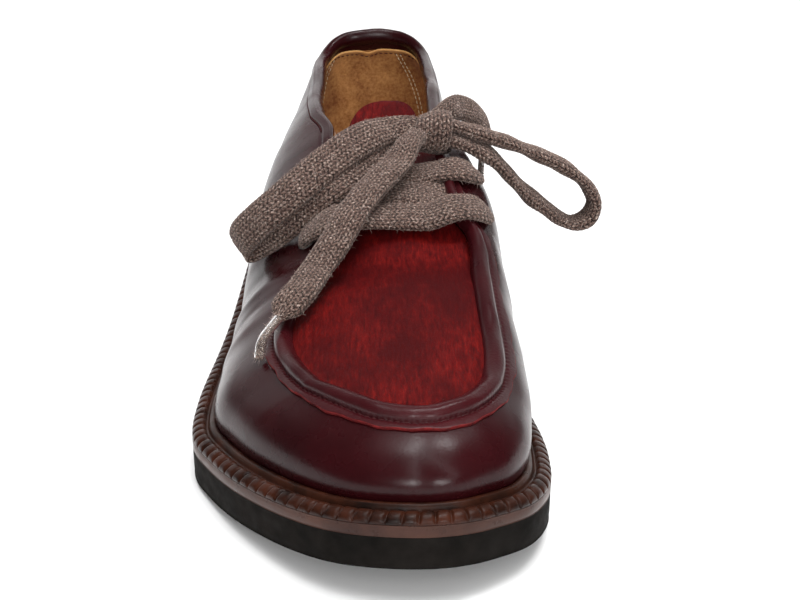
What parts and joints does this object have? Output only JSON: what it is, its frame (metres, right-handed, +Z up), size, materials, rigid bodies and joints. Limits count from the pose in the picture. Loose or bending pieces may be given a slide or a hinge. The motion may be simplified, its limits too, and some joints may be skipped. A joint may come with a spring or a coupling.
{
  "type": "lace-up shoe",
  "caption": "Right lace-up leather shoe with a rolled apron seam, pony-hair apron and tongue, ribbed storm welt, thick sole and a woollen bow.",
  "frame": {"origin": "on the ground, under the centre of the sole's box", "axes": "+Z up, toe toward -Y, heel toward +Y, medial side toward +X"},
  "size_m": [0.137, 0.3, 0.1029],
  "materials": {
    "sole_rubber": "matte black",
    "midsole_leather": "smooth waxed brown edge",
    "welt_leather": "ribbed reddish brown, burnished",
    "lining_leather": "matte tan",
    "upper_leather": "smooth polished burgundy",
    "pony_hair": "short dark red hair",
    "eyelet_metal": "dark lacquered",
    "lace_wool": "knitted taupe wool",
    "aglet_film": "clear film"
  },
  "bodies": {
    "root": {"heel_block": "sole_rubber", "outsole": "sole_rubber", "midsole": "midsole_leather", "welt": "welt_leather", "insole": "lining_leather", "upper": "upper_leather", "apron": "pony_hair", "tongue": "pony_hair", "eyelet_lateral_front": "eyelet_metal", "eyelet_lateral_back": "eyelet_metal", "eyelet_medial_front": "eyelet_metal", "eyelet_medial_back": "eyelet_metal", "lace_bars": "lace_wool", "lace_knot": "lace_wool", "lace_end_front": "lace_wool", "lace_end_back": "lace_wool", "lace_loop_lateral": "lace_wool", "lace_loop_medial": "lace_wool", "aglet_front": "aglet_film", "aglet_back": "aglet_film"}
  },
  "joints": []
}
